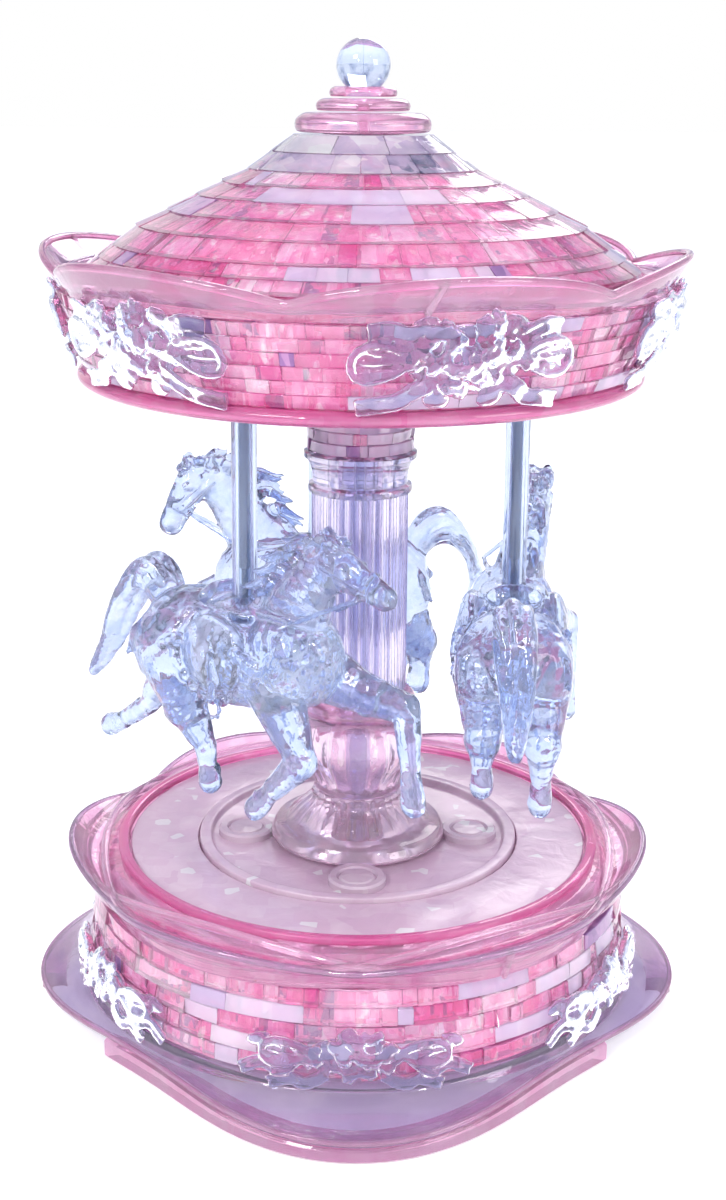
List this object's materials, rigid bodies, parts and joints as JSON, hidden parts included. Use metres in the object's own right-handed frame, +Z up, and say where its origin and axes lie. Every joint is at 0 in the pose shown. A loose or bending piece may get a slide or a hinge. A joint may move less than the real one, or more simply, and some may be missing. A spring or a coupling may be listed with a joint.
{
  "type": "carousel music box",
  "caption": "Clear and pink moulded carousel with riding horses on poles under a garlanded canopy, turning on a scalloped drum that holds a wind-up musical movement.",
  "frame": {"origin": "on the turning axis, at the level of the surface that the foot strips stand on", "axes": "+Z up along the turning axis; -Y towards the front garland of the base; +X to the right seen from the front"},
  "size_m": [0.1272, 0.1272, 0.186],
  "materials": {
    "pink_acrylic": "polished transparent, pink tint, layered",
    "deep_pink_acrylic": "polished transparent, saturated pink edge colour",
    "lavender_acrylic": "polished transparent, lavender tint",
    "clear_acrylic": "polished clear, faint blue",
    "brass": "satin",
    "steel": "satin"
  },
  "bodies": {
    "base": {"drum_course_1": "pink_acrylic", "drum_course_2": "pink_acrylic", "drum_course_3": "pink_acrylic", "drum_course_4": "pink_acrylic", "drum_course_5": "pink_acrylic", "platform_disc": "pink_acrylic", "pedestal_bell": "pink_acrylic", "pedestal_neck": "pink_acrylic", "column_foot": "pink_acrylic", "foot_strip_front": "deep_pink_acrylic", "foot_strip_right": "deep_pink_acrylic", "foot_strip_left": "deep_pink_acrylic", "lip_ring": "deep_pink_acrylic", "skirt_tray": "lavender_acrylic", "base_flange": "lavender_acrylic", "inner_disc": "lavender_acrylic", "column_shaft": "lavender_acrylic", "support_plate": "clear_acrylic", "capital": "clear_acrylic", "base_garland_1": "clear_acrylic", "base_garland_2": "clear_acrylic", "base_garland_3": "clear_acrylic", "base_garland_4": "clear_acrylic", "base_garland_5": "clear_acrylic", "base_garland_6": "clear_acrylic", "bedplate": "steel", "comb": "steel"},
    "carousel": {"spindle": "clear_acrylic", "collar": "pink_acrylic", "canopy_floor": "deep_pink_acrylic", "canopy_course_1": "pink_acrylic", "canopy_course_2": "pink_acrylic", "canopy_course_3": "pink_acrylic", "petal_rim": "pink_acrylic", "roof_course_1": "pink_acrylic", "roof_course_2": "pink_acrylic", "roof_course_3": "pink_acrylic", "roof_course_4": "pink_acrylic", "roof_course_5": "clear_acrylic", "cap_tier_1": "pink_acrylic", "cap_tier_2": "pink_acrylic", "cap_tier_3": "pink_acrylic", "finial": "clear_acrylic", "canopy_garland_1": "clear_acrylic", "canopy_garland_2": "clear_acrylic", "canopy_garland_3": "clear_acrylic", "canopy_garland_4": "clear_acrylic", "canopy_garland_5": "clear_acrylic", "canopy_garland_6": "clear_acrylic", "pole_1": "clear_acrylic", "pole_2": "clear_acrylic", "pole_3": "clear_acrylic", "horse_1": "clear_acrylic", "horse_2": "clear_acrylic", "horse_3": "clear_acrylic"},
    "spring_barrel": {"spring_barrel": "brass", "mainspring": "steel"},
    "pinned_cylinder": {"pinned_cylinder": "brass"},
    "governor": {"governor": "brass"},
    "winding_key": {"winding_key": "brass"}
  },
  "joints": [
    {"name": "carousel_turn", "type": "hinge", "parent": "base", "child": "carousel", "pos_m": [0, 0, 0.1106], "axis": [0, 0, 1], "continuous": true},
    {"name": "barrel_turn", "type": "hinge", "parent": "base", "child": "spring_barrel", "pos_m": [-0.0144, 0, 0.015], "axis": [0, 0, 1], "continuous": true},
    {"name": "cylinder_turn", "type": "hinge", "parent": "base", "child": "pinned_cylinder", "pos_m": [0.014, 0, 0.0146], "axis": [1, 0, 0], "continuous": true},
    {"name": "governor_spin", "type": "hinge", "parent": "base", "child": "governor", "pos_m": [0.0054, 0.00935, 0.016], "axis": [0, 0, 1], "continuous": true},
    {"name": "key_turn", "type": "hinge", "parent": "base", "child": "winding_key", "pos_m": [-0.0144, 0, 0.008], "axis": [0, 0, 1], "continuous": true}
  ],
  "couplings": [
    {"joint": "barrel_turn", "follows": "carousel_turn", "ratio": -1},
    {"joint": "cylinder_turn", "follows": "carousel_turn", "ratio": -2},
    {"joint": "governor_spin", "follows": "carousel_turn", "ratio": -2}
  ]
}
